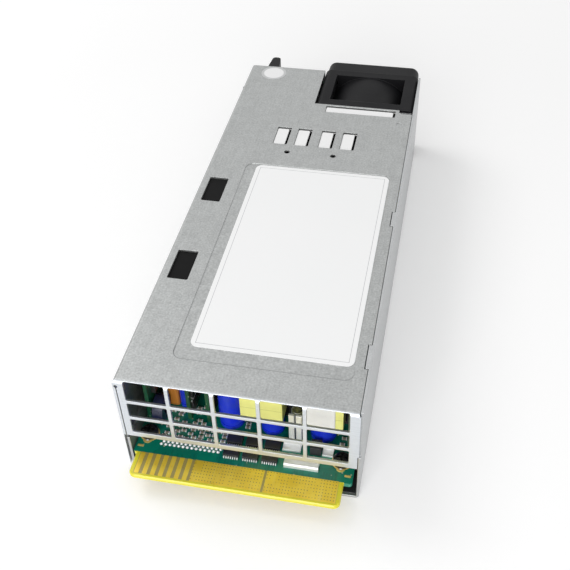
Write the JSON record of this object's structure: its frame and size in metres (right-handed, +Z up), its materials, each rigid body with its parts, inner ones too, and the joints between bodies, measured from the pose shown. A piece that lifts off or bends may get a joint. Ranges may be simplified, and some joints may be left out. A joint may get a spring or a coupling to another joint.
{
  "type": "hot swap server power supply",
  "caption": "Slim sheet metal server power supply that slides into a bay, with a card edge connector and grille at one end, and a fan, mains inlet and release latch at the other.",
  "frame": {"origin": "middle of the flat underside of the case", "axes": "+X to the right seen from the connector end, +Y from the connector end to the fan end, +Z up"},
  "size_m": [0.0753, 0.2072, 0.0401],
  "materials": {
    "zinc_steel": "galvanised sheet, dull with a fine spangle",
    "white_label": "bare white label stock, satin",
    "white_sheet": "white insulating sheet",
    "black_film": "thin black insulating film",
    "board_green": "green solder mask over glass fibre board",
    "gold_plate": "gold plated copper",
    "steel_screw": "plated steel",
    "brass_post": "turned brass",
    "tin_plate": "tin plated copper strip",
    "black_epoxy": "black moulding compound",
    "ferrite": "sintered ferrite",
    "yellow_tape": "yellow polyester tape",
    "amber_tape": "amber polyimide tape",
    "copper_wire": "enamelled copper wire",
    "blue_sleeve": "blue shrink sleeve",
    "grey_can": "bare aluminium can",
    "aluminium": "extruded aluminium",
    "black_sleeve": "black shrink sleeve",
    "yellow_box": "moulded capacitor box",
    "blue_box": "moulded relay case",
    "fuse_body": "ceramic fuse body",
    "white_nylon": "natural nylon",
    "black_plastic": "moulded black plastic, fine grain",
    "rotor_plastic": "moulded black plastic",
    "polished_steel": "ground steel",
    "stator": "copper windings on laminations",
    "nickel": "nickel plated brass",
    "led_lens": "clear green light pipe",
    "spring_steel": "spring wire"
  },
  "bodies": {
    "supply": {"base_tray": "zinc_steel", "top_cover": "zinc_steel", "cover_screws": "steel_screw", "rating_label": "white_label", "seal_sticker": "white_label", "window_film": "black_film", "window_sheet": "white_sheet", "main_board": "board_green", "signal_fingers": "gold_plate", "ground_pads": "gold_plate", "power_pads": "gold_plate", "standoffs": "brass_post", "board_screws": "steel_screw", "base_insulator": "black_film", "output_transistors": "black_epoxy", "output_bus_bars": "tin_plate", "ferrite_bead": "ferrite", "control_board": "board_green", "control_chips": "black_epoxy", "rectifier_boards": "board_green", "sense_board": "board_green", "output_capacitors": "blue_sleeve", "filter_capacitor": "grey_can", "standby_transformer": "amber_tape", "standby_inductor": "copper_wire", "resonant_choke": "yellow_tape", "primary_heatsink": "aluminium", "power_transistors": "black_epoxy", "bridge_rectifier": "black_epoxy", "bulk_capacitors": "black_sleeve", "x_capacitor": "yellow_box", "relay": "blue_box", "fuse": "fuse_body", "fan_header": "white_nylon", "fan_frame": "black_plastic", "fan_bearings": "polished_steel", "fan_stator": "stator", "fan_bulkhead": "zinc_steel", "fan_screws": "steel_screw", "fan_bezel": "black_plastic", "ac_inlet": "black_plastic", "inlet_pins": "nickel", "status_led": "led_lens", "latch_bracket": "zinc_steel", "latch_pin": "polished_steel", "latch_spring": "spring_steel", "transformer_core": "ferrite", "transformer_winding": "yellow_tape", "output_choke_core": "ferrite", "output_choke_winding": "yellow_tape", "pfc_choke_core": "ferrite", "pfc_choke_winding": "copper_wire", "emi_choke_core": "ferrite", "emi_choke_winding": "copper_wire"},
    "rotor": {"fan_rotor": "rotor_plastic", "fan_shaft": "polished_steel"},
    "latch": {"latch_lever": "black_plastic"}
  },
  "joints": [
    {"name": "fan_spin", "type": "hinge", "parent": "supply", "child": "rotor", "pos_m": [0.01585, 0.0677, 0.02], "axis": [0, 1, 0], "continuous": true},
    {"name": "latch_swing", "type": "hinge", "parent": "supply", "child": "latch", "pos_m": [-0.03195, 0.0545, 0.0316], "axis": [0, 0, -1], "range_deg": [0, 6], "stiffness_Nm_per_rad": 0.02}
  ]
}
